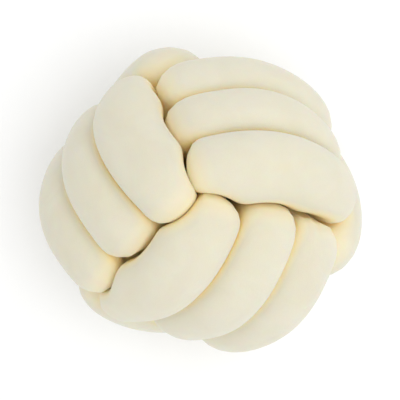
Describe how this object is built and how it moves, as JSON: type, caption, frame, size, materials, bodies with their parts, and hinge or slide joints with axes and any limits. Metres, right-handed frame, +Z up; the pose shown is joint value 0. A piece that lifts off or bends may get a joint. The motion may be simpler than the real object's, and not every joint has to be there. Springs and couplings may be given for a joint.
{
  "type": "knot cushion",
  "caption": "Round decorative knot cushion: a stuffed velvet tube tied into a monkey's fist ball of interlocking strands, resting on small flat spots.",
  "frame": {"origin": "centre of the bounding box, at floor level, where the cushion rests", "axes": "+Z up, away from the floor and out of the knotted face; +X to the right and +Y to the top of the face seen from above"},
  "size_m": [0.3056, 0.2876, 0.2818],
  "materials": {
    "velvet": "matt short-pile cream velvet with a soft sheen"
  },
  "bodies": {
    "root": {"knot_tube": "velvet"}
  },
  "joints": []
}
